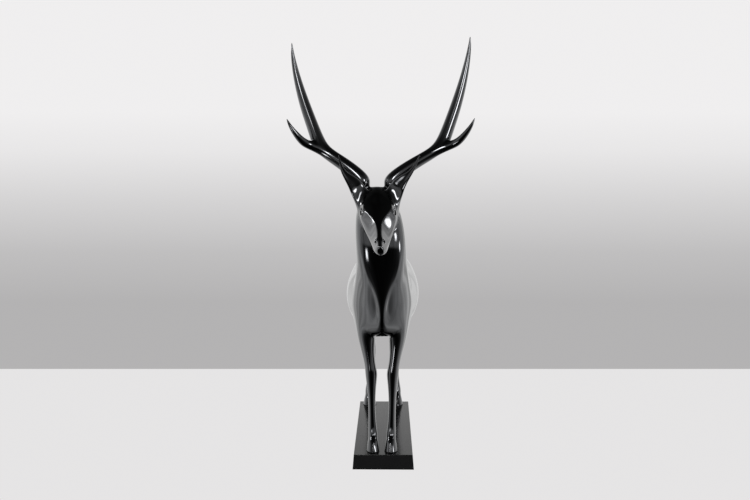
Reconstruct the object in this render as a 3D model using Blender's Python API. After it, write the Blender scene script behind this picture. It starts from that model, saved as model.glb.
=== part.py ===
"""A standing stag, cast in bronze and polished black, on a low plinth.

The stag is one casting. It is modelled as a cage of rings, from the tail along the trunk, up the neck
and down the face to the nose, out of which the legs, ears and antlers grow. A subdivision surface rounds
the cage. Only the half at +X is laid out, and the other half is its mirror image.

The stag faces -Y and +Z is up. The origin is in the middle of the plinth's underside. Sizes are in
metres, and the stag's own heights are above its soles.
"""

import math
from collections import namedtuple

import bmesh
import bpy
from mathutils import Vector

# Driving sizes
ROUNDING_LEVELS = 1  # how often the subdivision surface divides the stag's cage

PLINTH_THICKNESS = 0.075
PLINTH_WIDTH = 0.300  # of its top
PLINTH_LENGTH = 1.020  # of its top
PLINTH_BATTER = 0.006  # how far each side slopes out on its way down
PLINTH_EDGE_ROUND = 0.0015
SEAT_GAP = 0.0003  # between the soles and the plinth

STAG_SIDE_SHIFT = -0.007  # how far the stag stands to one side of the plinth's middle
HEAD_LEAN = -0.025  # how far the top of the head stands to one side of the hooves
ANTLER_LEAN = -0.007  # the same, for the middle between the antlers' forks
NECK_BASE = 0.96
HEAD_TOP = 1.38
FORK_HEIGHT = 1.60
LEFT_ANTLER_DROP = 0.028  # how much lower the tip at -X stands than the one at +X
ANTLER_TOP = 2.09

TOE_GAP = 0.006  # between a hoof's two toes, at the sole
EAR_HOLLOW = 0.9  # how deep the ear is dished, as a share of its half thickness

BRONZE_COLOUR = (0.012, 0.013, 0.015, 1.0)
BRONZE_ROUGHNESS = 0.06
PLINTH_COLOUR = (0.030, 0.030, 0.032, 1.0)
PLINTH_ROUGHNESS = 0.38

# Where the cage points of a half ring lie, in degrees from its top round the +X side to its bottom
RING_DEGREES = (0, 21, 46, 72, 96, 118, 140, 163, 180)

# A slice through the tail, the trunk or the neck: its top and bottom points in the middle plane, its half
# width, how far down the slice is widest, and how full its upper and lower halves are (1 is an ellipse, and
# less is fuller). A slice through the breast also gives the last three points before its bottom, on the
# shoulder, in the groove beside it and on the keel: their half widths, and how far down the slice they lie.
Slice = namedtuple(
    "Slice",
    "top_y top_z low_y low_z half_width widest_at upper_fullness lower_fullness breast_widths breast_downs",
    defaults=((), ()),
)

TAIL = [
    Slice(0.592, 0.785, 0.584, 0.785, 0.008, 0.50, 1.0, 1.0),
    Slice(0.608, 0.832, 0.574, 0.828, 0.030, 0.50, 1.0, 1.0),
    Slice(0.594, 0.904, 0.554, 0.876, 0.041, 0.50, 1.0, 1.0),
]
TRUNK = [
    Slice(0.560, 0.938, 0.536, 0.700, 0.085, 0.58, 1.0, 0.9),
    Slice(0.512, 0.962, 0.490, 0.622, 0.150, 0.56, 0.9, 0.9),
    Slice(0.420, 0.985, 0.410, 0.600, 0.184, 0.53, 0.9, 0.9),
    Slice(0.300, 0.990, 0.310, 0.608, 0.193, 0.50, 0.9, 0.9),
    Slice(0.050, 0.961, 0.060, 0.588, 0.213, 0.54, 0.95, 0.95),
    Slice(-0.190, 0.982, -0.200, 0.568, 0.194, 0.55, 1.0, 0.95),
    Slice(-0.250, 1.000, -0.295, 0.570, 0.178, 0.56, 1.05, 1.1),
    Slice(-0.295, 1.018, -0.385, 0.576, 0.166, 0.56, 1.1, 1.1),
    Slice(-0.330, 1.042, -0.470, 0.598, 0.154, 0.56, 1.1, 1.15),
    Slice(-0.360, 1.078, -0.536, 0.668, 0.142, 0.54, 1.05, 1.0, (0.088, 0.022, 0.013), (0.845, 0.935, 0.987)),
    Slice(-0.388, 1.126, -0.573, 0.773, 0.132, 0.52, 1.0, 1.0, (0.085, 0.026, 0.014), (0.837, 0.925, 0.985)),
    Slice(-0.422, 1.206, -0.592, 0.900, 0.130, 0.50, 0.95, 1.0, (0.116, 0.076, 0.040), (0.800, 0.925, 0.985)),
    Slice(-0.456, 1.296, -0.606, 1.010, 0.124, 0.48, 0.95, 1.0, (0.119, 0.098, 0.055), (0.780, 0.930, 0.992)),
    Slice(-0.486, 1.352, -0.608, 1.076, 0.109, 0.46, 0.9, 0.55),
    Slice(-0.515, 1.366, -0.602, 1.104, 0.101, 0.45, 0.9, 0.9),
]

# A slice through the head, from the forehead's line to the jaw's line. Its outline has points on the ridge
# that runs from the brow to the nose, at the eye, on the cheekbone, on the cheek and at the jaw: their half
# widths, and how far down the slice they lie.
Face = namedtuple("Face", "top_y top_z low_y low_z half_widths downs")

HEAD = [
    Face(-0.545, 1.355, -0.609, 1.104, (0.036, 0.080, 0.094, 0.091, 0.070), (0.05, 0.20, 0.41, 0.61, 0.82)),
    Face(-0.578, 1.334, -0.616, 1.108, (0.050, 0.079, 0.087, 0.085, 0.067), (0.05, 0.22, 0.43, 0.62, 0.83)),
    Face(-0.606, 1.310, -0.624, 1.109, (0.064, 0.089, 0.089, 0.083, 0.064), (0.06, 0.23, 0.42, 0.62, 0.83)),
    Face(-0.636, 1.282, -0.638, 1.106, (0.070, 0.089, 0.088, 0.081, 0.060), (0.06, 0.24, 0.42, 0.62, 0.83)),
    Face(-0.666, 1.258, -0.656, 1.099, (0.062, 0.074, 0.081, 0.075, 0.055), (0.05, 0.27, 0.44, 0.62, 0.83)),
    Face(-0.702, 1.229, -0.682, 1.089, (0.036, 0.056, 0.071, 0.066, 0.047), (0.02, 0.28, 0.46, 0.65, 0.84)),
    Face(-0.742, 1.197, -0.712, 1.076, (0.013, 0.039, 0.056, 0.055, 0.040), (0.00, 0.27, 0.48, 0.67, 0.85)),
    Face(-0.782, 1.166, -0.746, 1.063, (0.010, 0.029, 0.043, 0.045, 0.034), (0.00, 0.27, 0.50, 0.68, 0.86)),
    Face(-0.818, 1.138, -0.780, 1.051, (0.010, 0.026, 0.036, 0.038, 0.029), (0.01, 0.27, 0.50, 0.70, 0.86)),
    Face(-0.846, 1.114, -0.812, 1.045, (0.010, 0.024, 0.032, 0.031, 0.022), (0.03, 0.29, 0.52, 0.72, 0.87)),
    Face(-0.872, 1.100, -0.838, 1.045, (0.011, 0.021, 0.025, 0.023, 0.015), (0.06, 0.30, 0.52, 0.72, 0.88)),
    Face(-0.883, 1.089, -0.858, 1.051, (0.007, 0.013, 0.015, 0.013, 0.008), (0.06, 0.30, 0.52, 0.72, 0.88)),
]

# Two more points of a head slice. The one between its top and the ridge is at these shares of the ridge's
# half width and drop. The one between the jaw and its bottom is at these shares of the jaw's half width and
# rise.
CROWN_WIDTH = 0.5
CROWN_DROP = 0.2
THROAT_WIDTH = 0.55
THROAT_RISE = 0.6

# A ring round a limb: its centre, its half size across the limb and its half size along the trunk
Ring = namedtuple("Ring", "x y z half_width half_depth")

FORELEG = [
    Ring(0.079, -0.372, 0.572, 0.046, 0.056),
    Ring(0.0715, -0.388, 0.500, 0.0315, 0.042),
    Ring(0.0600, -0.401, 0.430, 0.0275, 0.034),
    Ring(0.0545, -0.404, 0.394, 0.0320, 0.036),
    Ring(0.0545, -0.402, 0.356, 0.0265, 0.029),
    Ring(0.0535, -0.400, 0.245, 0.0165, 0.0215),
    Ring(0.0500, -0.401, 0.120, 0.0200, 0.0240),
    Ring(0.0468, -0.405, 0.080, 0.0250, 0.0290),
    Ring(0.0463, -0.421, 0.056, 0.0235, 0.0255),
    Ring(0.0460, -0.434, 0.040, 0.0290, 0.0330),
]
FORE_SOLE = Ring(0.0460, -0.441, 0.0, 0.0375, 0.051)

HINDLEG = [
    Ring(0.104, 0.414, 0.585, 0.068, 0.108),
    Ring(0.091, 0.436, 0.480, 0.047, 0.078),
    Ring(0.079, 0.488, 0.376, 0.0325, 0.047),
    Ring(0.0755, 0.510, 0.325, 0.0325, 0.046),
    Ring(0.0755, 0.512, 0.288, 0.0285, 0.037),
    Ring(0.0765, 0.508, 0.235, 0.0205, 0.0270),
    Ring(0.0785, 0.500, 0.155, 0.0190, 0.0235),
    Ring(0.0815, 0.493, 0.110, 0.0230, 0.0270),
    Ring(0.0840, 0.489, 0.078, 0.0270, 0.0310),
    Ring(0.0835, 0.474, 0.054, 0.0255, 0.0270),
    Ring(0.0830, 0.461, 0.038, 0.0320, 0.0350),
]
HIND_SOLE = Ring(0.0820, 0.447, 0.0, 0.0450, 0.051)

BEAM = [
    Ring(0.058, -0.512, 1.368, 0.0380, 0.0360),
    Ring(0.086, -0.508, 1.408, 0.0370, 0.0340),
    Ring(0.172, -0.496, 1.471, 0.0325, 0.0300),
    Ring(0.254, -0.480, 1.519, 0.0300, 0.0290),
    Ring(0.291, -0.472, 1.554, 0.0320, 0.0310),
    Ring(0.316, -0.464, 1.596, 0.0340, 0.0310),
    Ring(0.336, -0.453, 1.650, 0.0305, 0.0300),
    Ring(0.370, -0.440, 1.745, 0.0290, 0.0275),
    Ring(0.404, -0.430, 1.860, 0.0225, 0.0215),
    Ring(0.4290, -0.434, 1.975, 0.0148, 0.0140),
    Ring(0.4395, -0.446, 2.058, 0.0070, 0.0070),
    Ring(0.4395, -0.451, 2.096, 0.0020, 0.0020),
]
TINE = [
    Ring(0.345, -0.494, 1.562, 0.0215, 0.0215),
    Ring(0.378, -0.514, 1.574, 0.0205, 0.0200),
    Ring(0.411, -0.537, 1.610, 0.0160, 0.0150),
    Ring(0.442, -0.554, 1.656, 0.0090, 0.0085),
    Ring(0.456, -0.560, 1.692, 0.0020, 0.0020),
]
EAR = [
    Ring(0.094, -0.566, 1.346, 0.040, 0.022),
    Ring(0.109, -0.576, 1.374, 0.035, 0.018),
    Ring(0.134, -0.590, 1.400, 0.0235, 0.013),
    Ring(0.158, -0.600, 1.424, 0.0130, 0.009),
    Ring(0.180, -0.608, 1.460, 0.0070, 0.006),
    Ring(0.196, -0.614, 1.515, 0.0018, 0.0018),
]

# A toe's outline at the sole, from its heel round its outer side to its tip and back along the cleft. The
# corners' places outwards and ahead, and those of the points on the cleft ahead, are shares of the sole's
# half width and half depth.
TOE_HEEL = -0.95
TOE_CORNERS = ((0.80, -0.78), (1.0, 0.05), (0.72, 0.82))
TOE_TIP = 1.0
CLEFT_MIDDLE = 0.1

# Where the limbs grow out of the rings that they stand on: from which ring to which, and from which point
# of the half ring to which, counted from its top
Root = namedtuple("Root", "first_ring last_ring upper_point lower_point")

TRUNK_START = len(TAIL)
HEAD_START = TRUNK_START + len(TRUNK)
FORELEG_ROOT = Root(TRUNK_START + 6, TRUNK_START + 8, 5, 7)
HINDLEG_ROOT = Root(TRUNK_START + 1, TRUNK_START + 3, 5, 7)
EAR_ROOT = Root(HEAD_START - 1, HEAD_START + 1, 2, 4)
ANTLER_ROOT = Root(HEAD_START - 3, HEAD_START - 1, 1, 2)
EYE_ROOT = Root(HEAD_START + 2, HEAD_START + 4, 2, 4)
NOSTRIL_ROOT = Root(HEAD_START + 8, HEAD_START + 9, 2, 3)
TINE_ROOT = Root(4, 6, 3, 4)

# The sharp lines along the rings, given in the same way: between the forehead's plane and the cheeks, and
# in the groove beside the keel. A crease of 1 is a sharp edge.
BROW_LINE = Root(HEAD_START + 1, HEAD_START + 7, 2, 2)
BROW_CREASE = 0.75
GROOVE_LINE = Root(TRUNK_START + 9, TRUNK_START + 12, 6, 6)
GROOVE_CREASE = 0.6

# How a patch of the head is carved into an oval, ring by ring towards its middle: the ring's half height,
# its half length, and how far it stands out
EYE_CARVING = (
    (0.0175, 0.0290, 0.0045),
    (0.0130, 0.0225, 0.0030),
    (0.0110, 0.0195, -0.0045),
    (0.0065, 0.0115, 0.0025),
)
NOSTRIL_CARVING = (
    (0.0125, 0.0145, 0.0015),
    (0.0095, 0.0110, 0.0035),
    (0.0065, 0.0080, -0.0060),
)


def slice_points(cut):
    """The half ring of a slice, from its top point round the +X side to its bottom point."""
    top = Vector((0, cut.top_y, cut.top_z))
    low = Vector((0, cut.low_y, cut.low_z))
    middle = top.lerp(low, cut.widest_at)
    points = []
    for degrees in RING_DEGREES:
        up = math.cos(math.radians(degrees))
        out = math.sin(math.radians(degrees))
        end, fullness = (top, cut.upper_fullness) if up > 0 else (low, cut.lower_fullness)
        point = middle.lerp(end, abs(up))
        if 0 < degrees < 180:
            point.x = cut.half_width * out**fullness
        points.append(point)
    breast_start = len(points) - 1 - len(cut.breast_downs)
    for i, (half_width, down) in enumerate(zip(cut.breast_widths, cut.breast_downs), start=breast_start):
        points[i] = top.lerp(low, down)
        points[i].x = half_width
    return points


def face_points(cut):
    """The half ring of a slice through the head, with as many points as the trunk's."""
    top = Vector((0, cut.top_y, cut.top_z))
    low = Vector((0, cut.low_y, cut.low_z))
    outline = list(zip(cut.half_widths, cut.downs))
    ridge_x, ridge_down = outline[0]
    jaw_x, jaw_down = outline[-1]
    crown = (CROWN_WIDTH * ridge_x, CROWN_DROP * ridge_down)
    throat = (THROAT_WIDTH * jaw_x, 1 - THROAT_RISE * (1 - jaw_down))
    outline = [(0.0, 0.0), crown, *outline, throat, (0.0, 1.0)]
    points = []
    for half_width, down in outline:
        point = top.lerp(low, down)
        point.x = half_width
        points.append(point)
    return points


def add_ring(bm, points):
    return [bm.verts.new(point) for point in points]


def join_rings(bm, first, second, closed=True):
    """Quads between two rings with as many points each. A closed ring comes back to its first point."""
    count = len(first)
    for here in range(count if closed else count - 1):
        there = (here + 1) % count
        bm.faces.new((first[here], first[there], second[there], second[here]))


def open_hole(bm, rings, root):
    """Takes the faces of a patch of the rings away and returns the points around it: along its upper side
    from the first ring to the last, down the last ring, back along its lower side, and up the first ring."""
    first, last, upper, lower = root
    loop = [rings[i][upper] for i in range(first, last + 1)]
    loop += [rings[last][j] for j in range(upper + 1, lower + 1)]
    loop += [rings[i][lower] for i in range(last - 1, first - 1, -1)]
    loop += [rings[first][j] for j in range(lower - 1, upper, -1)]
    patch = {rings[i][j] for i in range(first, last + 1) for j in range(upper, lower + 1)}
    faces = {face for vert in patch for face in vert.link_faces if patch.issuperset(face.verts)}
    bmesh.ops.delete(bm, geom=list(faces), context="FACES")
    return loop


def oval_points(middle, across, along, half_width, half_depth, count, side_count):
    """Points round an oval, in a hole's order. A subdivision surface lies inside its cage, so the cage's
    oval is larger, by as much as keeps the true size."""
    swell = 3 / (2 + math.cos(2 * math.pi / count))
    points = []
    for step in range(count):
        angle = 2 * math.pi * (step - (side_count - 1) / 2) / count
        width = math.cos(angle) * half_width * swell
        depth = math.sin(angle) * half_depth * swell
        points.append(middle + across * width + along * depth)
    return points


def hole_axes(loop, side_count):
    """A hole's middle, and its directions towards its upper side and towards its last ring."""
    middle = sum((v.co for v in loop), Vector()) / len(loop)
    across = sum((v.co for v in loop[:side_count]), Vector()) / side_count - middle
    along = loop[side_count - 1].co - loop[0].co
    return middle, across, along


def grow_limb(bm, loop, side_count, stations, dish=0.0):
    """Grows a limb out of a hole, ring by ring, and returns its rings. The hole's upper side has side_count
    points. A dished limb is hollow on its front side."""
    count = len(loop)
    middle, across, along = hole_axes(loop, side_count)
    centres = [Vector((s.x, s.y, s.z)) for s in stations]
    rings = [loop]
    for i, station in enumerate(stations):
        before = centres[max(i - 1, 0)]
        after = centres[min(i + 1, len(stations) - 1)]
        tangent = (after - before).normalized()
        along = (along - along.dot(tangent) * tangent).normalized()
        across = across - across.dot(tangent) * tangent
        across = (across - across.dot(along) * along).normalized()
        size = (station.half_width, station.half_depth)
        points = oval_points(centres[i], across, along, *size, count, side_count)
        for point in points:
            ahead = (point - centres[i]).dot(along) / station.half_depth
            point -= along * max(ahead, 0.0) ** 2 * station.half_depth * dish
        ring = add_ring(bm, points)
        join_rings(bm, rings[-1], ring)
        rings.append(ring)
    bm.faces.new(ring)
    return rings


def carve_patch(bm, loop, side_count, carving):
    """Closes a hole with ovals, one inside the other, that stand out by different heights."""
    middle, across, along = hole_axes(loop, side_count)
    outward = across.cross(along)
    if outward.x < 0:
        outward.negate()
    outward.normalize()
    along.normalize()
    across = outward.cross(along)
    if across.z < 0:
        across.negate()
    outer = loop
    for half_height, half_length, height in carving:
        size = (half_height, half_length)
        points = oval_points(middle + outward * height, across, along, *size, len(loop), side_count)
        inner = add_ring(bm, points)
        join_rings(bm, outer, inner)
        outer = inner
    bm.faces.new(outer)


def add_hoof(bm, top, sole, crease):
    """A cloven hoof under a limb's last ring: two toes that part along the line from its front to back."""
    outer_side, front, back = 1, 3, 7
    cleft = bm.verts.new((top[front].co + top[back].co) / 2)
    for side in (1, -1):
        if side > 0:
            steps = (back, 0, outer_side, 2, front)
        else:
            steps = (back, 6, 5, 4, front)
        upper = [top[step] for step in steps] + [cleft]
        outline = [(TOE_GAP / 2, TOE_HEEL)]
        outline += [(out * sole.half_width, ahead) for out, ahead in TOE_CORNERS]
        outline += [(TOE_GAP / 2, TOE_TIP), (TOE_GAP / 2, CLEFT_MIDDLE)]
        lower = []
        for out, ahead in outline:
            lower.append(Vector((sole.x + side * out, sole.y - ahead * sole.half_depth, sole.z)))
        toe = add_ring(bm, lower)
        join_rings(bm, upper, toe)
        sole_face = bm.faces.new(toe)
        cleft_edges = [bm.edges.get((upper[step], toe[step])) for step in (0, 4)]
        for edge in [*sole_face.edges, *cleft_edges]:
            edge[crease] = 1.0


def close_end(bm, half_ring):
    """Closes the spine's end with a strip of faces across it."""
    far_side = half_ring[::-1]
    middle = len(half_ring) // 2
    for i in range(middle - 1):
        bm.faces.new((half_ring[i], half_ring[i + 1], far_side[i + 1], far_side[i]))
    bm.faces.new((half_ring[middle - 1], half_ring[middle], half_ring[middle + 1]))


def smooth_step(value, start, end):
    share = min(max((value - start) / (end - start), 0.0), 1.0)
    return share * share * (3 - 2 * share)


def make_stag_cage():
    bm = bmesh.new()
    crease = bm.edges.layers.float.new("crease_edge")
    spine = [add_ring(bm, slice_points(cut)) for cut in TAIL + TRUNK]
    spine += [add_ring(bm, face_points(cut)) for cut in HEAD]
    for first, second in zip(spine, spine[1:]):
        join_rings(bm, first, second, closed=False)
    close_end(bm, spine[0])
    close_end(bm, spine[-1])

    for line, sharpness in ((BROW_LINE, BROW_CREASE), (GROOVE_LINE, GROOVE_CREASE)):
        for i in range(line.first_ring, line.last_ring):
            edge = bm.edges.get((spine[i][line.upper_point], spine[i + 1][line.upper_point]))
            edge[crease] = sharpness

    for root, stations, sole in ((FORELEG_ROOT, FORELEG, FORE_SOLE), (HINDLEG_ROOT, HINDLEG, HIND_SOLE)):
        leg = grow_limb(bm, open_hole(bm, spine, root), 3, stations)
        bm.faces.remove(bm.faces.get(leg[-1]))
        add_hoof(bm, leg[-1], sole, crease)
    grow_limb(bm, open_hole(bm, spine, EAR_ROOT), 3, EAR, dish=EAR_HOLLOW)
    beam = grow_limb(bm, open_hole(bm, spine, ANTLER_ROOT), 3, BEAM)
    grow_limb(bm, open_hole(bm, beam, TINE_ROOT), 3, TINE)
    carve_patch(bm, open_hole(bm, spine, EYE_ROOT), 3, EYE_CARVING)
    carve_patch(bm, open_hole(bm, spine, NOSTRIL_ROOT), 2, NOSTRIL_CARVING)
    return bm


def lean_head(vert):
    """Moves the neck, the head and the antlers a little to one side, and lowers the left antler's tip."""
    x, y, z = vert.co
    lean = HEAD_LEAN * smooth_step(z, NECK_BASE, HEAD_TOP)
    lean += (ANTLER_LEAN - HEAD_LEAN) * smooth_step(z, HEAD_TOP, FORK_HEIGHT)
    if x < 0:
        z -= LEFT_ANTLER_DROP * smooth_step(z, FORK_HEIGHT, ANTLER_TOP)
    vert.co = (x + lean, y, z)


def make_object(name, bm, colour, metallic, roughness):
    mesh = bpy.data.meshes.new(name)
    bm.to_mesh(mesh)
    bm.free()
    material = bpy.data.materials.new(name)
    material.use_nodes = True
    shader = material.node_tree.nodes["Principled BSDF"]
    shader.inputs["Base Color"].default_value = colour
    shader.inputs["Metallic"].default_value = metallic
    shader.inputs["Roughness"].default_value = roughness
    mesh.materials.append(material)
    obj = bpy.data.objects.new(name, mesh)
    bpy.context.scene.collection.objects.link(obj)
    return obj


def make_stag():
    bm = make_stag_cage()
    everything = bm.verts[:] + bm.edges[:] + bm.faces[:]
    bmesh.ops.mirror(bm, geom=everything, axis="X", merge_dist=0.00005)
    for vert in bm.verts:
        lean_head(vert)
    bmesh.ops.recalc_face_normals(bm, faces=bm.faces)
    stag = make_object("stag", bm, BRONZE_COLOUR, 1.0, BRONZE_ROUGHNESS)
    stag.location = (STAG_SIDE_SHIFT, 0, PLINTH_THICKNESS + SEAT_GAP)
    rounding = stag.modifiers.new("rounding", "SUBSURF")
    rounding.levels = ROUNDING_LEVELS
    rounding.render_levels = ROUNDING_LEVELS
    stag.data.shade_smooth()
    return stag


def make_plinth():
    bm = bmesh.new()
    rings = []
    for height, growth in ((0.0, PLINTH_BATTER), (PLINTH_THICKNESS, 0.0)):
        half_width = PLINTH_WIDTH / 2 + growth
        half_length = PLINTH_LENGTH / 2 + growth
        corners = ((-1, -1), (1, -1), (1, 1), (-1, 1))
        rings.append(add_ring(bm, [(sx * half_width, sy * half_length, height) for sx, sy in corners]))
    join_rings(bm, rings[0], rings[1])
    bm.faces.new(reversed(rings[0]))
    bm.faces.new(rings[1])
    bmesh.ops.recalc_face_normals(bm, faces=bm.faces)
    bmesh.ops.bevel(
        bm,
        geom=[edge for edge in bm.edges if max(v.co.z for v in edge.verts) > 0],
        offset=PLINTH_EDGE_ROUND,
        segments=2,
        profile=0.5,
        affect="EDGES",
    )
    return make_object("plinth", bm, PLINTH_COLOUR, 1.0, PLINTH_ROUGHNESS)


for old in list(bpy.data.objects):
    bpy.data.objects.remove(old, do_unlink=True)

make_stag()
make_plinth()
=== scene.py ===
"""The looks of a standing stag, cast in bronze and polished black, on a low plinth.

The stag faces -Y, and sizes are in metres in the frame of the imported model.
"""

import math
from collections import namedtuple

import bmesh
import bpy
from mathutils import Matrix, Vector


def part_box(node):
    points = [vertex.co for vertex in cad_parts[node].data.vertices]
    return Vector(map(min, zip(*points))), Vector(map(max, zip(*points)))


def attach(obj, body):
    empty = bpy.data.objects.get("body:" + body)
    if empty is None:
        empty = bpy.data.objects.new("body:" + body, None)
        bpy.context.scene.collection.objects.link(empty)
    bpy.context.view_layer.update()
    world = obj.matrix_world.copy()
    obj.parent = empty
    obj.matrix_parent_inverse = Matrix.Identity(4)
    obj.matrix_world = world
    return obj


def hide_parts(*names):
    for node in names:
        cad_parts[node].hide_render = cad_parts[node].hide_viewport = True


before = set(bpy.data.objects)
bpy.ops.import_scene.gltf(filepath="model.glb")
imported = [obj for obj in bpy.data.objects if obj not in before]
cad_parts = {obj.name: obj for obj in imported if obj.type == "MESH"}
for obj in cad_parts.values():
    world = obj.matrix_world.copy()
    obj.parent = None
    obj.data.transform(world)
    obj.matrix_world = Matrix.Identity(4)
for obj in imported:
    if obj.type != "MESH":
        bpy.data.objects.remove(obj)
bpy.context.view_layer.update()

# Stag
# The deer is cast in bronze in several parts, which are welded and chased into one skin. That is patinated
# black, lacquered and polished until it mirrors the studio. It stands on the tips of its cloven hooves,
# which are welded to the plinth.

PLINTH_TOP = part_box("plinth")[1][2]
SEAT_GAP = 0.0003  # between the soles and the plinth
SKIN_LEVELS = 3  # how often the subdivision surface divides the cage
MERGE_REACH = 0.00005  # points of the two halves that are this close in the middle plane are joined

STAG_SIDE_SHIFT = -0.007  # how far the stag stands to one side of the plinth's middle
HEAD_LEAN = -0.025  # how far the top of the head stands to one side of the hooves
ANTLER_LEAN = -0.007  # the same, for the middle between the antlers' forks
ANTLER_DROP = 0.028  # how much lower the antler's tip at -X stands than the one at +X
NECK_BASE = 0.96  # where the head's lean begins
HEAD_TOP = 1.38  # where it is reached, and changes into the antlers' lean
FORK_HEIGHT = 1.60  # where that is reached, and the drop begins
ANTLER_TOP = 2.09

TOE_GAP = 0.006  # between a hoof's two toes, at the sole
EAR_HOLLOW = 0.9  # how deep the ear is dished, as a share of its half thickness

# Where the cage points of a half ring lie, in degrees from its top round the +X side to its bottom
RING_DEGREES = (0, 21, 46, 72, 96, 118, 140, 163, 180)

# A slice through the tail, the trunk or the neck: its top and bottom points in the middle plane, its half
# width, how far down the slice is widest, and how full its upper and lower halves are (1 is an ellipse, and
# less is fuller). A slice through the breast also gives the last three points before its bottom, on the
# shoulder, in the groove beside it and on the keel: their half widths, and how far down the slice they lie.
Slice = namedtuple(
    "Slice",
    "top_y top_z low_y low_z half_width widest_at upper_fullness lower_fullness breast_widths breast_downs",
    defaults=((), ()),
)

TAIL = [
    Slice(0.592, 0.785, 0.584, 0.785, 0.008, 0.50, 1.0, 1.0),
    Slice(0.608, 0.832, 0.574, 0.828, 0.030, 0.50, 1.0, 1.0),
    Slice(0.594, 0.904, 0.554, 0.876, 0.041, 0.50, 1.0, 1.0),
]
TRUNK = [
    Slice(0.560, 0.938, 0.536, 0.700, 0.085, 0.58, 1.0, 0.9),
    Slice(0.512, 0.962, 0.490, 0.622, 0.150, 0.56, 0.9, 0.9),
    Slice(0.420, 0.985, 0.410, 0.600, 0.184, 0.53, 0.9, 0.9),
    Slice(0.300, 0.990, 0.310, 0.608, 0.193, 0.50, 0.9, 0.9),
    Slice(0.050, 0.961, 0.060, 0.588, 0.213, 0.54, 0.95, 0.95),
    Slice(-0.190, 0.982, -0.200, 0.568, 0.194, 0.55, 1.0, 0.95),
    Slice(-0.250, 1.000, -0.295, 0.570, 0.178, 0.56, 1.05, 1.1),
    Slice(-0.295, 1.018, -0.385, 0.576, 0.166, 0.56, 1.1, 1.1),
    Slice(-0.330, 1.042, -0.470, 0.598, 0.154, 0.56, 1.1, 1.15),
    Slice(-0.360, 1.078, -0.536, 0.668, 0.142, 0.54, 1.05, 1.0, (0.088, 0.022, 0.013), (0.845, 0.935, 0.987)),
    Slice(-0.388, 1.126, -0.573, 0.773, 0.132, 0.52, 1.0, 1.0, (0.085, 0.026, 0.014), (0.837, 0.925, 0.985)),
    Slice(-0.422, 1.206, -0.592, 0.900, 0.130, 0.50, 0.95, 1.0, (0.116, 0.076, 0.040), (0.800, 0.925, 0.985)),
    Slice(-0.456, 1.296, -0.606, 1.010, 0.124, 0.48, 0.95, 1.0, (0.119, 0.098, 0.055), (0.780, 0.930, 0.992)),
    Slice(-0.486, 1.352, -0.608, 1.076, 0.109, 0.46, 0.9, 0.55),
    Slice(-0.515, 1.366, -0.602, 1.104, 0.101, 0.45, 0.9, 0.9),
]

# A slice through the head, from the forehead's line to the jaw's line. Its outline has points on the ridge
# that runs from the brow to the nose, at the eye, on the cheekbone, on the cheek and at the jaw: their half
# widths, and how far down the slice they lie.
Face = namedtuple("Face", "top_y top_z low_y low_z half_widths downs")

HEAD = [
    Face(-0.545, 1.355, -0.609, 1.104, (0.036, 0.080, 0.094, 0.091, 0.070), (0.05, 0.20, 0.41, 0.61, 0.82)),
    Face(-0.578, 1.334, -0.616, 1.108, (0.050, 0.079, 0.087, 0.085, 0.067), (0.05, 0.22, 0.43, 0.62, 0.83)),
    Face(-0.606, 1.310, -0.624, 1.109, (0.064, 0.089, 0.089, 0.083, 0.064), (0.06, 0.23, 0.42, 0.62, 0.83)),
    Face(-0.636, 1.282, -0.638, 1.106, (0.070, 0.089, 0.088, 0.081, 0.060), (0.06, 0.24, 0.42, 0.62, 0.83)),
    Face(-0.666, 1.258, -0.656, 1.099, (0.062, 0.074, 0.081, 0.075, 0.055), (0.05, 0.27, 0.44, 0.62, 0.83)),
    Face(-0.702, 1.229, -0.682, 1.089, (0.036, 0.056, 0.071, 0.066, 0.047), (0.02, 0.28, 0.46, 0.65, 0.84)),
    Face(-0.742, 1.197, -0.712, 1.076, (0.013, 0.039, 0.056, 0.055, 0.040), (0.00, 0.27, 0.48, 0.67, 0.85)),
    Face(-0.782, 1.166, -0.746, 1.063, (0.010, 0.029, 0.043, 0.045, 0.034), (0.00, 0.27, 0.50, 0.68, 0.86)),
    Face(-0.818, 1.138, -0.780, 1.051, (0.010, 0.026, 0.036, 0.038, 0.029), (0.01, 0.27, 0.50, 0.70, 0.86)),
    Face(-0.846, 1.114, -0.812, 1.045, (0.010, 0.024, 0.032, 0.031, 0.022), (0.03, 0.29, 0.52, 0.72, 0.87)),
    Face(-0.872, 1.100, -0.838, 1.045, (0.011, 0.021, 0.025, 0.023, 0.015), (0.06, 0.30, 0.52, 0.72, 0.88)),
    Face(-0.883, 1.089, -0.858, 1.051, (0.007, 0.013, 0.015, 0.013, 0.008), (0.06, 0.30, 0.52, 0.72, 0.88)),
]

# Two more points of a head slice. The one between its top and the ridge is at these shares of the ridge's
# half width and drop. The one between the jaw and its bottom is at these shares of the jaw's half width and
# rise.
CROWN_WIDTH = 0.5
CROWN_DROP = 0.2
THROAT_WIDTH = 0.55
THROAT_RISE = 0.6

# A ring round a limb: its centre, its half size across the limb and its half size along the trunk
Ring = namedtuple("Ring", "x y z half_width half_depth")

FORELEG = [
    Ring(0.079, -0.372, 0.572, 0.046, 0.056),
    Ring(0.0715, -0.388, 0.500, 0.0315, 0.042),
    Ring(0.0600, -0.401, 0.430, 0.0275, 0.034),
    Ring(0.0545, -0.404, 0.394, 0.0320, 0.036),
    Ring(0.0545, -0.402, 0.356, 0.0265, 0.029),
    Ring(0.0535, -0.400, 0.245, 0.0165, 0.0215),
    Ring(0.0500, -0.401, 0.120, 0.0200, 0.0240),
    Ring(0.0468, -0.405, 0.080, 0.0250, 0.0290),
    Ring(0.0463, -0.421, 0.056, 0.0235, 0.0255),
    Ring(0.0460, -0.434, 0.040, 0.0290, 0.0330),
]
FORE_SOLE = Ring(0.0460, -0.441, 0.0, 0.0375, 0.051)

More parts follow.
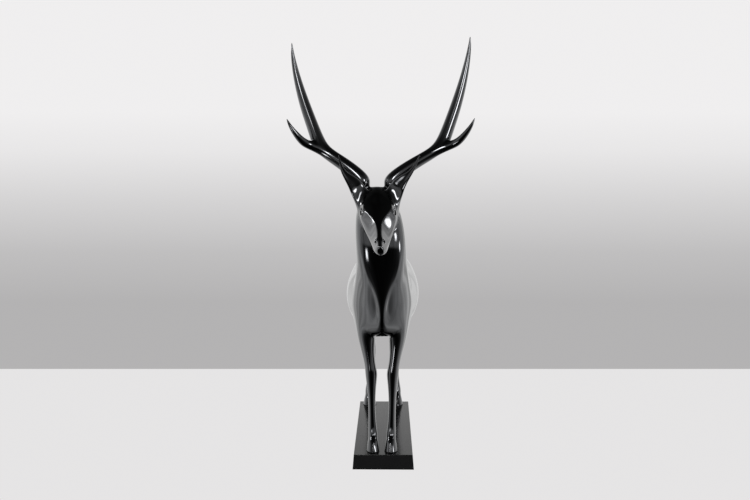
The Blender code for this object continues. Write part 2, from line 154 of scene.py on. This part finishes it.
HINDLEG = [
    Ring(0.104, 0.414, 0.585, 0.068, 0.108),
    Ring(0.091, 0.436, 0.480, 0.047, 0.078),
    Ring(0.079, 0.488, 0.376, 0.0325, 0.047),
    Ring(0.0755, 0.510, 0.325, 0.0325, 0.046),
    Ring(0.0755, 0.512, 0.288, 0.0285, 0.037),
    Ring(0.0765, 0.508, 0.235, 0.0205, 0.0270),
    Ring(0.0785, 0.500, 0.155, 0.0190, 0.0235),
    Ring(0.0815, 0.493, 0.110, 0.0230, 0.0270),
    Ring(0.0840, 0.489, 0.078, 0.0270, 0.0310),
    Ring(0.0835, 0.474, 0.054, 0.0255, 0.0270),
    Ring(0.0830, 0.461, 0.038, 0.0320, 0.0350),
]
HIND_SOLE = Ring(0.0820, 0.447, 0.0, 0.0450, 0.051)

BEAM = [
    Ring(0.058, -0.512, 1.368, 0.0380, 0.0360),
    Ring(0.086, -0.508, 1.408, 0.0370, 0.0340),
    Ring(0.172, -0.496, 1.471, 0.0325, 0.0300),
    Ring(0.254, -0.480, 1.519, 0.0300, 0.0290),
    Ring(0.291, -0.472, 1.554, 0.0320, 0.0310),
    Ring(0.316, -0.464, 1.596, 0.0340, 0.0310),
    Ring(0.336, -0.453, 1.650, 0.0305, 0.0300),
    Ring(0.370, -0.440, 1.745, 0.0290, 0.0275),
    Ring(0.404, -0.430, 1.860, 0.0225, 0.0215),
    Ring(0.4290, -0.434, 1.975, 0.0148, 0.0140),
    Ring(0.4395, -0.446, 2.058, 0.0070, 0.0070),
    Ring(0.4395, -0.451, 2.096, 0.0020, 0.0020),
]
TINE = [
    Ring(0.345, -0.494, 1.562, 0.0215, 0.0215),
    Ring(0.378, -0.514, 1.574, 0.0205, 0.0200),
    Ring(0.411, -0.537, 1.610, 0.0160, 0.0150),
    Ring(0.442, -0.554, 1.656, 0.0090, 0.0085),
    Ring(0.456, -0.560, 1.692, 0.0020, 0.0020),
]
EAR = [
    Ring(0.094, -0.566, 1.346, 0.040, 0.022),
    Ring(0.109, -0.576, 1.374, 0.035, 0.018),
    Ring(0.134, -0.590, 1.400, 0.0235, 0.013),
    Ring(0.158, -0.600, 1.424, 0.0130, 0.009),
    Ring(0.180, -0.608, 1.460, 0.0070, 0.006),
    Ring(0.196, -0.614, 1.515, 0.0018, 0.0018),
]

# A toe's outline at the sole, from its heel round its outer side to its tip and back along the cleft. The
# corners' places outwards and ahead, and those of the points on the cleft ahead, are shares of the sole's
# half width and half depth.
TOE_HEEL = -0.95
TOE_CORNERS = ((0.80, -0.78), (1.0, 0.05), (0.72, 0.82))
TOE_TIP = 1.0
CLEFT_MIDDLE = 0.1

# Where the limbs grow out of the rings that they stand on: from which ring to which, and from which point
# of the half ring to which, counted from its top
Root = namedtuple("Root", "first_ring last_ring upper_point lower_point")

TRUNK_START = len(TAIL)
HEAD_START = TRUNK_START + len(TRUNK)
FORELEG_ROOT = Root(TRUNK_START + 6, TRUNK_START + 8, 5, 7)
HINDLEG_ROOT = Root(TRUNK_START + 1, TRUNK_START + 3, 5, 7)
EAR_ROOT = Root(HEAD_START - 1, HEAD_START + 1, 2, 4)
ANTLER_ROOT = Root(HEAD_START - 3, HEAD_START - 1, 1, 2)
EYE_ROOT = Root(HEAD_START + 2, HEAD_START + 4, 2, 4)
NOSTRIL_ROOT = Root(HEAD_START + 8, HEAD_START + 9, 2, 3)
TINE_ROOT = Root(4, 6, 3, 4)

# The sharp lines along the rings, given in the same way: between the forehead's plane and the cheeks, and
# in the groove beside the keel. A crease of 1 is a sharp edge.
BROW_LINE = Root(HEAD_START + 1, HEAD_START + 7, 2, 2)
BROW_CREASE = 0.75
GROOVE_LINE = Root(TRUNK_START + 9, TRUNK_START + 12, 6, 6)
GROOVE_CREASE = 0.6

# How a patch of the head is carved into an oval, ring by ring towards its middle: the ring's half height,
# its half length, and how far it stands out
EYE_CARVING = (
    (0.0175, 0.0290, 0.0045),
    (0.0130, 0.0225, 0.0030),
    (0.0110, 0.0195, -0.0045),
    (0.0065, 0.0115, 0.0025),
)
NOSTRIL_CARVING = (
    (0.0125, 0.0145, 0.0015),
    (0.0095, 0.0110, 0.0035),
    (0.0065, 0.0080, -0.0060),
)


def slice_points(cut):
    """The half ring of a slice, from its top point round the +X side to its bottom point."""
    top = Vector((0, cut.top_y, cut.top_z))
    low = Vector((0, cut.low_y, cut.low_z))
    middle = top.lerp(low, cut.widest_at)
    points = []
    for degrees in RING_DEGREES:
        up = math.cos(math.radians(degrees))
        out = math.sin(math.radians(degrees))
        end, fullness = (top, cut.upper_fullness) if up > 0 else (low, cut.lower_fullness)
        point = middle.lerp(end, abs(up))
        if 0 < degrees < 180:
            point.x = cut.half_width * out**fullness
        points.append(point)
    breast_start = len(points) - 1 - len(cut.breast_downs)
    for i, (half_width, down) in enumerate(zip(cut.breast_widths, cut.breast_downs), start=breast_start):
        points[i] = top.lerp(low, down)
        points[i].x = half_width
    return points


def face_points(cut):
    """The half ring of a slice through the head, with as many points as the trunk's."""
    top = Vector((0, cut.top_y, cut.top_z))
    low = Vector((0, cut.low_y, cut.low_z))
    outline = list(zip(cut.half_widths, cut.downs))
    ridge_x, ridge_down = outline[0]
    jaw_x, jaw_down = outline[-1]
    crown = (CROWN_WIDTH * ridge_x, CROWN_DROP * ridge_down)
    throat = (THROAT_WIDTH * jaw_x, 1 - THROAT_RISE * (1 - jaw_down))
    outline = [(0.0, 0.0), crown, *outline, throat, (0.0, 1.0)]
    points = []
    for half_width, down in outline:
        point = top.lerp(low, down)
        point.x = half_width
        points.append(point)
    return points


def add_ring(bm, points):
    return [bm.verts.new(point) for point in points]


def join_rings(bm, first, second, closed=True):
    """Quads between two rings with as many points each. A closed ring comes back to its first point."""
    count = len(first)
    for here in range(count if closed else count - 1):
        there = (here + 1) % count
        bm.faces.new((first[here], first[there], second[there], second[here]))


def open_hole(bm, rings, root):
    """Takes the faces of a patch of the rings away and returns the points around it: along its upper side
    from the first ring to the last, down the last ring, back along its lower side, and up the first ring.
    Also returns how many of them are on the upper side."""
    first, last, upper, lower = root
    loop = [rings[i][upper] for i in range(first, last + 1)]
    loop += [rings[last][j] for j in range(upper + 1, lower + 1)]
    loop += [rings[i][lower] for i in range(last - 1, first - 1, -1)]
    loop += [rings[first][j] for j in range(lower - 1, upper, -1)]
    patch = {rings[i][j] for i in range(first, last + 1) for j in range(upper, lower + 1)}
    faces = {face for vert in patch for face in vert.link_faces if patch.issuperset(face.verts)}
    bmesh.ops.delete(bm, geom=list(faces), context="FACES")
    return loop, last - first + 1


def oval_points(middle, across, along, half_width, half_depth, count, side_count):
    """Points round an oval, in a hole's order. A subdivision surface lies inside its cage, so the cage's
    oval is larger, by as much as keeps the true size."""
    swell = 3 / (2 + math.cos(2 * math.pi / count))
    points = []
    for step in range(count):
        angle = 2 * math.pi * (step - (side_count - 1) / 2) / count
        width = math.cos(angle) * half_width * swell
        depth = math.sin(angle) * half_depth * swell
        points.append(middle + across * width + along * depth)
    return points


def hole_axes(loop, side_count):
    """A hole's middle, and its directions towards its upper side and towards its last ring."""
    middle = sum((v.co for v in loop), Vector()) / len(loop)
    across = sum((v.co for v in loop[:side_count]), Vector()) / side_count - middle
    along = loop[side_count - 1].co - loop[0].co
    return middle, across, along


def grow_limb(bm, base_rings, root, stations, dish=0.0):
    """Grows a limb out of a hole in the rings that it stands on, ring by ring, and returns its rings. A
    dished limb is hollow on its front side."""
    loop, side_count = open_hole(bm, base_rings, root)
    count = len(loop)
    _, across, along = hole_axes(loop, side_count)
    centres = [Vector((s.x, s.y, s.z)) for s in stations]
    rings = [loop]
    for i, station in enumerate(stations):
        before = centres[max(i - 1, 0)]
        after = centres[min(i + 1, len(stations) - 1)]
        tangent = (after - before).normalized()
        along = (along - along.dot(tangent) * tangent).normalized()
        across = across - across.dot(tangent) * tangent
        across = (across - across.dot(along) * along).normalized()
        size = (station.half_width, station.half_depth)
        points = oval_points(centres[i], across, along, *size, count, side_count)
        for point in points:
            ahead = (point - centres[i]).dot(along) / station.half_depth
            point -= along * max(ahead, 0.0) ** 2 * station.half_depth * dish
        ring = add_ring(bm, points)
        join_rings(bm, rings[-1], ring)
        rings.append(ring)
    bm.faces.new(ring)
    return rings


def carve_patch(bm, base_rings, root, carving):
    """Fills a hole in the rings with ovals, one inside the other, that stand out by different heights."""
    loop, side_count = open_hole(bm, base_rings, root)
    middle, across, along = hole_axes(loop, side_count)
    outward = across.cross(along)
    if outward.x < 0:
        outward.negate()
    outward.normalize()
    along.normalize()
    across = outward.cross(along)
    if across.z < 0:
        across.negate()
    outer = loop
    for half_height, half_length, height in carving:
        size = (half_height, half_length)
        points = oval_points(middle + outward * height, across, along, *size, len(loop), side_count)
        inner = add_ring(bm, points)
        join_rings(bm, outer, inner)
        outer = inner
    bm.faces.new(outer)


def add_hoof(bm, top, sole, crease):
    """A cloven hoof under a limb's last ring: two toes that part along the line from its front to back."""
    outer_side, front, inner_side, back = (0, 1, 2), 3, (6, 5, 4), 7  # where they are on the ring
    heel, tip = 0, 4  # where they are on a toe
    cleft = bm.verts.new((top[front].co + top[back].co) / 2)
    for side, between in ((1, outer_side), (-1, inner_side)):
        upper = [top[step] for step in (back, *between, front)] + [cleft]
        outline = [(TOE_GAP / 2, TOE_HEEL)]
        outline += [(out * sole.half_width, ahead) for out, ahead in TOE_CORNERS]
        outline += [(TOE_GAP / 2, TOE_TIP), (TOE_GAP / 2, CLEFT_MIDDLE)]
        lower = []
        for out, ahead in outline:
            lower.append(Vector((sole.x + side * out, sole.y - ahead * sole.half_depth, sole.z)))
        toe = add_ring(bm, lower)
        join_rings(bm, upper, toe)
        sole_face = bm.faces.new(toe)
        cleft_edges = [bm.edges.get((upper[step], toe[step])) for step in (heel, tip)]
        for edge in [*sole_face.edges, *cleft_edges]:
            edge[crease] = 1.0


def close_end(bm, half_ring):
    """Closes the spine's end with a strip of faces across it."""
    far_side = half_ring[::-1]
    middle = len(half_ring) // 2
    for i in range(middle - 1):
        bm.faces.new((half_ring[i], half_ring[i + 1], far_side[i + 1], far_side[i]))
    bm.faces.new((half_ring[middle - 1], half_ring[middle], half_ring[middle + 1]))


def smooth_step(value, start, end):
    share = min(max((value - start) / (end - start), 0.0), 1.0)
    return share * share * (3 - 2 * share)


def make_stag_cage():
    bm = bmesh.new()
    crease = bm.edges.layers.float.new("crease_edge")
    spine = [add_ring(bm, slice_points(cut)) for cut in TAIL + TRUNK]
    spine += [add_ring(bm, face_points(cut)) for cut in HEAD]
    for first, second in zip(spine, spine[1:]):
        join_rings(bm, first, second, closed=False)
    close_end(bm, spine[0])
    close_end(bm, spine[-1])

    for line, sharpness in ((BROW_LINE, BROW_CREASE), (GROOVE_LINE, GROOVE_CREASE)):
        for i in range(line.first_ring, line.last_ring):
            edge = bm.edges.get((spine[i][line.upper_point], spine[i + 1][line.upper_point]))
            edge[crease] = sharpness

    for root, stations, sole in ((FORELEG_ROOT, FORELEG, FORE_SOLE), (HINDLEG_ROOT, HINDLEG, HIND_SOLE)):
        leg = grow_limb(bm, spine, root, stations)
        bm.faces.remove(bm.faces.get(leg[-1]))
        add_hoof(bm, leg[-1], sole, crease)
    grow_limb(bm, spine, EAR_ROOT, EAR, dish=EAR_HOLLOW)
    beam = grow_limb(bm, spine, ANTLER_ROOT, BEAM)
    grow_limb(bm, beam, TINE_ROOT, TINE)
    carve_patch(bm, spine, EYE_ROOT, EYE_CARVING)
    carve_patch(bm, spine, NOSTRIL_ROOT, NOSTRIL_CARVING)
    return bm


def lean_head(vert):
    """Moves a point of the neck, the head or the antlers a little to one side, and lowers it if it is on
    the antler at -X."""
    x, y, z = vert.co
    lean = HEAD_LEAN * smooth_step(z, NECK_BASE, HEAD_TOP)
    lean += (ANTLER_LEAN - HEAD_LEAN) * smooth_step(z, HEAD_TOP, FORK_HEIGHT)
    if x < 0:
        z -= ANTLER_DROP * smooth_step(z, FORK_HEIGHT, ANTLER_TOP)
    vert.co = (x + lean, y, z)


def polished_bronze():
    """Black patina under a clear polished lacquer. The patina is cloudy, and the hand rubbing has left faint
    waves and small spots that are a little less glossy."""
    material = bpy.data.materials.new("polished_bronze")
    material.use_nodes = True
    nodes = material.node_tree.nodes
    links = material.node_tree.links
    shader = nodes["Principled BSDF"]
    place = nodes.new("ShaderNodeTexCoord")

    clouds = nodes.new("ShaderNodeTexNoise")
    clouds.inputs["Scale"].default_value = 3.5
    clouds.inputs["Detail"].default_value = 5.0
    links.new(place.outputs["Object"], clouds.inputs["Vector"])

    patina = nodes.new("ShaderNodeValToRGB")
    patina.color_ramp.elements[0].position = 0.30
    patina.color_ramp.elements[0].color = (0.0150, 0.0165, 0.0190, 1.0)
    patina.color_ramp.elements[1].position = 0.72
    patina.color_ramp.elements[1].color = (0.0300, 0.0310, 0.0340, 1.0)
    links.new(clouds.outputs["Fac"], patina.inputs["Fac"])
    links.new(patina.outputs["Color"], shader.inputs["Base Color"])

    rubbing = nodes.new("ShaderNodeTexNoise")
    rubbing.inputs["Scale"].default_value = 60.0
    rubbing.inputs["Detail"].default_value = 8.0
    rubbing.inputs["Roughness"].default_value = 0.65
    links.new(place.outputs["Object"], rubbing.inputs["Vector"])

    gloss = nodes.new("ShaderNodeMapRange")
    gloss.inputs["From Min"].default_value = 0.30
    gloss.inputs["From Max"].default_value = 0.75
    gloss.inputs["To Min"].default_value = 0.08
    gloss.inputs["To Max"].default_value = 0.13
    links.new(rubbing.outputs["Fac"], gloss.inputs["Value"])
    links.new(gloss.outputs["Result"], shader.inputs["Roughness"])

    ripple = nodes.new("ShaderNodeBump")
    ripple.inputs["Strength"].default_value = 0.03
    ripple.inputs["Distance"].default_value = 0.004
    links.new(clouds.outputs["Fac"], ripple.inputs["Height"])
    links.new(ripple.outputs["Normal"], shader.inputs["Normal"])

    shader.inputs["Metallic"].default_value = 1.0
    shader.inputs["Coat Weight"].default_value = 1.0
    shader.inputs["Coat Roughness"].default_value = 0.06
    shader.inputs["Coat IOR"].default_value = 1.5
    return material


def make_stag():
    bm = make_stag_cage()
    everything = bm.verts[:] + bm.edges[:] + bm.faces[:]
    bmesh.ops.mirror(bm, geom=everything, axis="X", merge_dist=MERGE_REACH)
    for vert in bm.verts:
        lean_head(vert)
        vert.co += Vector((STAG_SIDE_SHIFT, 0, PLINTH_TOP + SEAT_GAP))
    bmesh.ops.recalc_face_normals(bm, faces=bm.faces)
    mesh = bpy.data.meshes.new("stag_skin")
    bm.to_mesh(mesh)
    bm.free()
    mesh.shade_smooth()
    mesh.materials.append(polished_bronze())
    stag = bpy.data.objects.new("stag_skin", mesh)
    bpy.context.scene.collection.objects.link(stag)
    rounding = stag.modifiers.new("rounding", "SUBSURF")
    rounding.levels = SKIN_LEVELS
    rounding.render_levels = SKIN_LEVELS
    return stag


stag = make_stag()
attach(stag, "root")
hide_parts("stag")

# Plinth
# A low slab welded of bronze plate, with sides that slope out a little. Its top is brushed along its length
# to a satin sheen. Its faces that look up are painted a shade darker than its sides: painted shade that holds
# down the light falling on them. It is the imported model's own node with its own finish.


def brushed_plate():
    """Black patina, brushed to a satin sheen. The faces that look up are painted a shade darker than the
    sides: painted shade that holds down the light falling on them.
    """
    material = bpy.data.materials.new("brushed_plate")
    material.use_nodes = True
    nodes = material.node_tree.nodes
    links = material.node_tree.links
    shader = nodes["Principled BSDF"]
    place = nodes.new("ShaderNodeTexCoord")

    grain_place = nodes.new("ShaderNodeMapping")
    grain_place.inputs["Scale"].default_value = (260.0, 6.0, 60.0)
    links.new(place.outputs["Object"], grain_place.inputs["Vector"])
    grain = nodes.new("ShaderNodeTexNoise")
    grain.inputs["Scale"].default_value = 1.0
    grain.inputs["Detail"].default_value = 6.0
    links.new(grain_place.outputs["Vector"], grain.inputs["Vector"])

    clouds = nodes.new("ShaderNodeTexNoise")
    clouds.inputs["Scale"].default_value = 9.0
    clouds.inputs["Detail"].default_value = 6.0
    links.new(place.outputs["Object"], clouds.inputs["Vector"])

    facing = nodes.new("ShaderNodeNewGeometry")
    split = nodes.new("ShaderNodeSeparateXYZ")
    links.new(facing.outputs["Normal"], split.inputs["Vector"])
    top_shade_factor = nodes.new("ShaderNodeMapRange")
    top_shade_factor.inputs["From Min"].default_value = 0.3
    top_shade_factor.inputs["From Max"].default_value = 0.9
    links.new(split.outputs["Z"], top_shade_factor.inputs["Value"])

    # Painted shade: the faces that look up take the darker black, B, and the sides take the lighter one, A.
    tone_with_painted_shade = nodes.new("ShaderNodeMix")
    tone_with_painted_shade.data_type = "RGBA"
    tone_with_painted_shade.inputs["A"].default_value = (0.010, 0.010, 0.0105, 1.0)
    tone_with_painted_shade.inputs["B"].default_value = (0.008, 0.008, 0.0085, 1.0)
    links.new(top_shade_factor.outputs["Result"], tone_with_painted_shade.inputs["Factor"])
    mottle = nodes.new("ShaderNodeMix")
    mottle.data_type = "RGBA"
    mottle.blend_type = "MULTIPLY"
    mottle.inputs["Factor"].default_value = 0.5
    links.new(tone_with_painted_shade.outputs["Result"], mottle.inputs["A"])
    links.new(clouds.outputs["Fac"], mottle.inputs["B"])
    links.new(mottle.outputs["Result"], shader.inputs["Base Color"])

    sheen = nodes.new("ShaderNodeMapRange")
    sheen.inputs["From Min"].default_value = 0.25
    sheen.inputs["From Max"].default_value = 0.75
    sheen.inputs["To Min"].default_value = 0.10
    sheen.inputs["To Max"].default_value = 0.20
    links.new(grain.outputs["Fac"], sheen.inputs["Value"])
    links.new(sheen.outputs["Result"], shader.inputs["Roughness"])

    brushing = nodes.new("ShaderNodeBump")
    brushing.inputs["Strength"].default_value = 0.15
    brushing.inputs["Distance"].default_value = 0.0004
    links.new(grain.outputs["Fac"], brushing.inputs["Height"])
    links.new(brushing.outputs["Normal"], shader.inputs["Normal"])

    shader.inputs["Metallic"].default_value = 0.0
    shader.inputs["Specular IOR Level"].default_value = 0.20
    return material


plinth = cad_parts["plinth"]
plinth.data.materials.clear()
plinth.data.materials.append(brushed_plate())

# Floor and backdrop
# A pale matt floor, and across it a pale grey wall a little way behind the plinth. The wall glows with
# painted light, palest at the top and darker towards the floor, and stands square to the camera. From behind
# it is clear, so that the stag can be seen from there.

CAMERA_LEFT = math.radians(0.909)  # how far the camera is turned to its left
FLOOR_HALF_WIDTH = 9.0
FLOOR_FRONT = -9.0
FLOOR_BACK = 9.0
WALL_Y = 1.72
WALL_HEIGHT = 5.0
WALL_SLANT = FLOOR_HALF_WIDTH * math.tan(CAMERA_LEFT)

# Greys as they show in the picture, from 0 to 255. The wall's come in pairs of a height and a grey.
FLOOR_GREY = 229
FAR_GREY = 236  # past the floor and the wall
TINT = (0.7, -0.5, 0.0)  # what is added to a grey's red, green and blue
# The wall's greys are painted light and shade: it glows brightest at the top and darker towards the floor.
WALL_TONES = [(0.0, 179), (0.52, 179), (0.90, 191), (1.28, 211), (1.66, 231), (1.95, 239), (WALL_HEIGHT, 239)]


def grey(level):
    """Linear colour of a grey that shows as this level, a little on the pink side."""
    channels = []
    for step in TINT:
        value = (level + step) / 255
        channels.append(value / 12.92 if value <= 0.04045 else ((value + 0.055) / 1.055) ** 2.4)
    return (*channels, 1.0)


def glowing_paint(name, tones):
    """A surface whose brightness doesn't depend on the lights, and which is clear from behind. Tones are
    pairs of a height and a grey."""
    material = bpy.data.materials.new(name)
    material.use_nodes = True
    nodes = material.node_tree.nodes
    links = material.node_tree.links
    nodes.remove(nodes["Principled BSDF"])
    glow = nodes.new("ShaderNodeEmission")
    place = nodes.new("ShaderNodeTexCoord")
    split = nodes.new("ShaderNodeSeparateXYZ")
    span = nodes.new("ShaderNodeMapRange")
    ramp = nodes.new("ShaderNodeValToRGB")
    lowest = tones[0][0]
    highest = tones[-1][0]
    span.inputs["From Min"].default_value = lowest
    span.inputs["From Max"].default_value = highest
    stops = ramp.color_ramp.elements
    for height, _ in tones[1:-1]:
        stops.new((height - lowest) / (highest - lowest))
    for stop, (_, level) in zip(stops, tones):
        stop.color = grey(level)
    links.new(place.outputs["Object"], split.inputs["Vector"])
    links.new(split.outputs["Z"], span.inputs["Value"])
    links.new(span.outputs["Result"], ramp.inputs["Fac"])
    links.new(ramp.outputs["Color"], glow.inputs["Color"])
    facing = nodes.new("ShaderNodeNewGeometry")
    clear = nodes.new("ShaderNodeBsdfTransparent")
    either_side = nodes.new("ShaderNodeMixShader")
    links.new(facing.outputs["Backfacing"], either_side.inputs["Fac"])
    links.new(glow.outputs["Emission"], either_side.inputs[1])
    links.new(clear.outputs["BSDF"], either_side.inputs[2])
    links.new(either_side.outputs["Shader"], nodes["Material Output"].inputs["Surface"])
    return material


def stage_plane(name, corners, material):
    mesh = bpy.data.meshes.new(name)
    mesh.from_pydata(corners, [], [(0, 1, 2, 3)])
    mesh.materials.append(material)
    plane = bpy.data.objects.new(name, mesh)
    bpy.context.scene.collection.objects.link(plane)
    plane.visible_glossy = False


stage_plane(
    "floor",
    [
        (-FLOOR_HALF_WIDTH, FLOOR_FRONT, 0.0),
        (FLOOR_HALF_WIDTH, FLOOR_FRONT, 0.0),
        (FLOOR_HALF_WIDTH, FLOOR_BACK, 0.0),
        (-FLOOR_HALF_WIDTH, FLOOR_BACK, 0.0),
    ],
    glowing_paint("floor_paint", [(-1.0, FLOOR_GREY), (1.0, FLOOR_GREY)]),
)
stage_plane(
    "backdrop",
    [
        (-FLOOR_HALF_WIDTH, WALL_Y - WALL_SLANT, 0.0),
        (FLOOR_HALF_WIDTH, WALL_Y + WALL_SLANT, 0.0),
        (FLOOR_HALF_WIDTH, WALL_Y + WALL_SLANT, WALL_HEIGHT),
        (-FLOOR_HALF_WIDTH, WALL_Y - WALL_SLANT, WALL_HEIGHT),
    ],
    glowing_paint("wall_paint", WALL_TONES),
)

# Studio light
# The camera's side of the studio is dark low down, where the breast mirrors it, and grey higher up. Long
# white curtains on both sides give the bronze its pale flanks and rims, and the ceiling is dim. Six
# softboxes draw the streaks and sparks.

scene = bpy.context.scene
world = bpy.data.worlds.new("studio")
scene.world = world
world.use_nodes = True
room_nodes = world.node_tree.nodes
room_links = world.node_tree.links


def room_ramp(value, stops):
    """Brightness against a value from -1 to 1. Stops are pairs of a value and a brightness."""
    span = room_nodes.new("ShaderNodeMapRange")
    span.inputs["From Min"].default_value = -1.0
    ramp = room_nodes.new("ShaderNodeValToRGB")
    ramp.color_ramp.interpolation = "EASE"
    elements = ramp.color_ramp.elements
    for place, _ in stops[1:-1]:
        elements.new((place + 1.0) / 2.0)
    for element, (_, brightness) in zip(elements, stops):
        element.color = (brightness, brightness, brightness, 1.0)
    room_links.new(value, span.inputs["Value"])
    room_links.new(span.outputs["Result"], ramp.inputs["Fac"])
    return ramp.outputs["Color"]


def room_mix(blend, factor, first, second):
    """The first colour with the second laid over it, by a factor, or in full where that is None."""
    mix = room_nodes.new("ShaderNodeMix")
    mix.data_type = "RGBA"
    mix.blend_type = blend
    if factor is None:
        mix.inputs["Factor"].default_value = 1.0
    else:
        room_links.new(factor, mix.inputs["Factor"])
    room_links.new(first, mix.inputs["A"])
    room_links.new(second, mix.inputs["B"])
    return mix.outputs["Result"]


outlook = room_nodes.new("ShaderNodeTexCoord")
flatten = room_nodes.new("ShaderNodeVectorMath")
flatten.operation = "MULTIPLY"
flatten.inputs[1].default_value = (1.0, 1.0, 0.0)
room_links.new(outlook.outputs["Generated"], flatten.inputs[0])
bearing = room_nodes.new("ShaderNodeVectorMath")
bearing.operation = "NORMALIZE"
room_links.new(flatten.outputs["Vector"], bearing.inputs[0])
bearing_parts = room_nodes.new("ShaderNodeSeparateXYZ")
room_links.new(bearing.outputs["Vector"], bearing_parts.inputs["Vector"])
outlook_parts = room_nodes.new("ShaderNodeSeparateXYZ")
room_links.new(outlook.outputs["Generated"], outlook_parts.inputs["Vector"])

# The room's brightness around, below the horizon and above it, and how that dims towards the floor and the
# ceiling. A bearing of -1 is towards the camera, 0 to the sides and 1 to the back. A height of -1 is
# straight down and 1 straight up.
around_low = room_ramp(
    bearing_parts.outputs["Y"],
    [(-1.0, 0.01), (-0.85, 0.03), (-0.65, 0.08), (-0.35, 0.50), (0.0, 0.90), (0.50, 0.78), (1.0, 0.42)],
)
around_high = room_ramp(
    bearing_parts.outputs["Y"],
    [(-1.0, 0.42), (-0.80, 0.42), (-0.50, 0.45), (0.0, 0.85), (0.50, 0.70), (1.0, 0.42)],
)
upper_half = room_ramp(outlook_parts.outputs["Z"], [(-1.0, 0.0), (-0.06, 0.0), (0.05, 1.0), (1.0, 1.0)])
aloft = room_ramp(
    outlook_parts.outputs["Z"],
    [(-1.0, 0.05), (-0.90, 0.12), (-0.70, 0.80), (0.30, 1.0), (0.60, 0.25), (0.80, 0.06), (1.0, 0.03)],
)
curtains_place = room_nodes.new("ShaderNodeMapping")
curtains_place.inputs["Scale"].default_value = (3.0, 3.0, 0.7)
room_links.new(outlook.outputs["Generated"], curtains_place.inputs["Vector"])
curtains = room_nodes.new("ShaderNodeTexNoise")
curtains.inputs["Scale"].default_value = 1.6
curtains.inputs["Detail"].default_value = 3.0
room_links.new(curtains_place.outputs["Vector"], curtains.inputs["Vector"])
folds = room_nodes.new("ShaderNodeMapRange")
folds.inputs["From Min"].default_value = 0.35
folds.inputs["From Max"].default_value = 0.65
folds.inputs["To Min"].default_value = 0.65
folds.inputs["To Max"].default_value = 1.25
room_links.new(curtains.outputs["Fac"], folds.inputs["Value"])
around = room_mix("MIX", upper_half, around_low, around_high)
around = room_mix("MULTIPLY", None, around, folds.outputs["Result"])
room_light = room_nodes["Background"]
room_light.inputs["Strength"].default_value = 1.9
room_links.new(room_mix("MULTIPLY", None, around, aloft), room_light.inputs["Color"])
haze = room_nodes.new("ShaderNodeBackground")
haze.inputs["Color"].default_value = grey(FAR_GREY)
seen = room_nodes.new("ShaderNodeLightPath")
either = room_nodes.new("ShaderNodeMixShader")
room_links.new(seen.outputs["Is Camera Ray"], either.inputs["Fac"])
room_links.new(room_light.outputs["Background"], either.inputs[1])
room_links.new(haze.outputs["Background"], either.inputs[2])
room_links.new(either.outputs["Shader"], room_nodes["World Output"].inputs["Surface"])

# A lamp behind a cloth: where it stands and what it is aimed at, the cloth's size, and its power
Softbox = namedtuple("Softbox", "name place aim width height watts")

SOFTBOXES = [
    Softbox("strip_left", (-0.35, -3.7, 2.80), (-0.2, -0.4, 1.8), 0.8, 1.4, 100.0),
    Softbox("strip_right", (2.1, -3.3, 2.45), (0.3, -0.4, 1.8), 0.9, 1.5, 120.0),
    Softbox("low_left", (-1.5, -2.7, 0.55), (-0.1, -0.6, 1.1), 0.6, 0.9, 30.0),
    Softbox("low_right", (2.3, -1.75, 1.20), (0.1, -0.6, 1.1), 0.6, 0.8, 30.0),
    Softbox("side_left", (-2.8, -0.2, 2.44), (0.0, -0.7, 1.3), 1.3, 0.45, 50.0),
    Softbox("side_right", (2.7, 0.17, 2.54), (0.0, -0.7, 1.25), 0.68, 0.36, 15.0),
]
CLOTH_MIDDLE = 0.5  # as a share of the cloth's width or height, from its edge
CLOTH_FULL = 0.4  # where the cloth reaches its full brightness, counted in the same way


def add_softbox(box):
    """A softbox's cloth glows brightest in its middle and fades out towards its edges."""
    lamp = bpy.data.lights.new(box.name, "AREA")
    lamp.shape = "RECTANGLE"
    lamp.size = box.width
    lamp.size_y = box.height
    lamp.energy = box.watts
    lamp.use_nodes = True
    nodes = lamp.node_tree.nodes
    links = lamp.node_tree.links
    cloth = nodes.new("ShaderNodeNewGeometry")
    sides = nodes.new("ShaderNodeSeparateXYZ")
    links.new(cloth.outputs["Parametric"], sides.inputs["Vector"])
    fades = []
    for side in ("X", "Y"):
        wave = nodes.new("ShaderNodeMath")
        wave.operation = "PINGPONG"
        wave.inputs[1].default_value = CLOTH_MIDDLE
        links.new(sides.outputs[side], wave.inputs[0])
        fade = nodes.new("ShaderNodeMapRange")
        fade.interpolation_type = "SMOOTHSTEP"
        fade.inputs["From Max"].default_value = CLOTH_FULL
        links.new(wave.outputs["Value"], fade.inputs["Value"])
        fades.append(fade.outputs["Result"])
    both = nodes.new("ShaderNodeMath")
    both.operation = "MULTIPLY"
    links.new(fades[0], both.inputs[0])
    links.new(fades[1], both.inputs[1])
    links.new(both.outputs["Value"], nodes["Emission"].inputs["Strength"])
    softbox = bpy.data.objects.new(box.name, lamp)
    softbox.location = box.place
    softbox.rotation_euler = (Vector(box.aim) - Vector(box.place)).to_track_quat("-Z", "Y").to_euler()
    softbox.visible_camera = False
    scene.collection.objects.link(softbox)


for softbox in SOFTBOXES:
    add_softbox(softbox)

# Camera
# It stands at a grown person's eye height, almost straight in front of the stag, and looks down a little.
# Its lens and place were fitted to the plinth's edges and to the stag's outline in the photo.

CAMERA_PLACE = (0.0254, -4.742, 1.503)
CAMERA_DOWN = math.radians(5.175)
FOCAL_LENGTH = 41.04
SENSOR_WIDTH = 36.0

lens = bpy.data.cameras.new("camera")
lens.lens = FOCAL_LENGTH
lens.sensor_width = SENSOR_WIDTH
camera = bpy.data.objects.new("camera", lens)
camera.location = CAMERA_PLACE
camera.rotation_euler = (math.pi / 2 - CAMERA_DOWN, 0.0, CAMERA_LEFT)
scene.collection.objects.link(camera)
scene.camera = camera
scene.view_settings.view_transform = "Standard"
